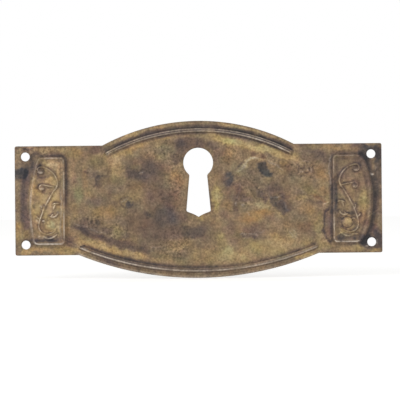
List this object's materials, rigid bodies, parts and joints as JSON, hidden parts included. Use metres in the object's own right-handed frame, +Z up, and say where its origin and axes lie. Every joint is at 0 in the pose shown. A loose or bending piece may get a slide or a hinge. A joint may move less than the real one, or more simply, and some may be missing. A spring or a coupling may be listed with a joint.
{
  "type": "keyhole escutcheon",
  "caption": "Pressed brass keyhole escutcheon: square end tabs with nail holes and raised ornamental panels, bowed ribbed edges, and a keyhole that guides a key to a drawer lock.",
  "frame": {"origin": "centre of the nail-hole pattern, on the plane of the flat back", "axes": "as fixed to an upright front: +X along the plate to the viewer's right, +Z up, -Y out of the ornamented face; the back lies in Y = 0"},
  "size_m": [0.1, 0.0014, 0.0428],
  "materials": {
    "aged_brass": "aged brown patina, worn brighter on the relief"
  },
  "bodies": {
    "root": {"escutcheon_plate": "aged_brass"}
  },
  "joints": []
}
